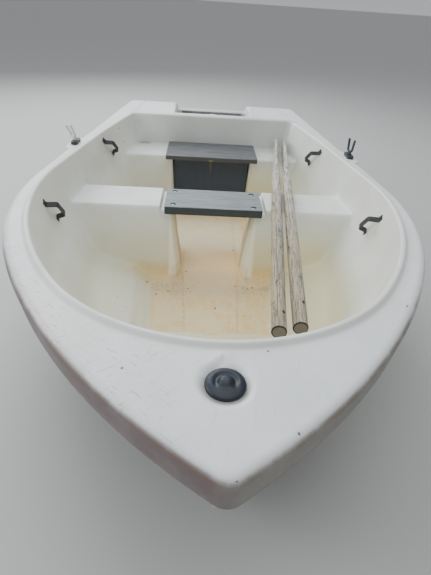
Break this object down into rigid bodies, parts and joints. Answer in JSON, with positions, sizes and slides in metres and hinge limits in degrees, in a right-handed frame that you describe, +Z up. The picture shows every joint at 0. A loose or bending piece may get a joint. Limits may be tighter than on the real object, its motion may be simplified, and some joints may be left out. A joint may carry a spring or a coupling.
{
  "type": "rowing boat",
  "caption": "Small double-skinned rowing boat with a thwart, a hinged locker lid, turning oarlocks, strap handles and a pair of stowed oars.",
  "frame": {"origin": "middle of the boat under the keel, where it stands on the ground", "axes": "+Z up, +Y aft towards the transom, +X to port"},
  "size_m": [1.634, 3.0505, 0.6871],
  "materials": {
    "hull": "semi-gloss ivory white, scuffed and stained",
    "plank": "blue-grey board with a wood grain",
    "lid_board": "charcoal grained board",
    "front_board": "charcoal board",
    "brass": "tarnished",
    "cap": "black satin",
    "motor_pad": "dark ribbed plastic",
    "eye": "brushed",
    "plug": "black",
    "strip": "scratched grey",
    "socket": "black",
    "lock_steel": "dull galvanised",
    "lock_grey": "dark blue-grey",
    "strap": "matt black",
    "oar_wood": "grey-brown, weathered and cracked"
  },
  "bodies": {
    "root": {"hull": "hull", "thwart_plank": "plank", "locker_front": "front_board", "locker_catch": "brass", "lid_hinge_base": "brass", "bow_cap": "cap", "motor_pad": "motor_pad", "stem_eye": "eye", "drain_plug": "plug", "keel_strip": "strip", "runner_strip_port": "strip", "runner_strip_starboard": "strip", "lock_socket_port": "socket", "lock_socket_starboard": "socket", "handle_fore_port": "strap", "handle_fore_starboard": "strap", "handle_aft_port": "strap", "handle_aft_starboard": "strap", "oar_port": "oar_wood", "oar_starboard": "oar_wood"},
    "lid": {"locker_lid": "lid_board", "lid_battens": "lid_board", "lid_hinge_leaf": "brass"},
    "lock_port": {"oarlock_port": "lock_grey"},
    "lock_starboard": {"oarlock_starboard": "lock_steel"}
  },
  "joints": [
    {"name": "locker_lid_hinge", "type": "hinge", "parent": "root", "child": "lid", "pos_m": [0, 1.091, 0.4028], "axis": [-1, 0, 0], "range_deg": [0, 90]},
    {"name": "oarlock_port_turn", "type": "hinge", "parent": "root", "child": "lock_port", "pos_m": [0.7401, 0.4, 0.6], "axis": [0, 0, 1], "continuous": true},
    {"name": "oarlock_starboard_turn", "type": "hinge", "parent": "root", "child": "lock_starboard", "pos_m": [-0.7401, 0.4, 0.6], "axis": [0, 0, 1], "continuous": true}
  ]
}
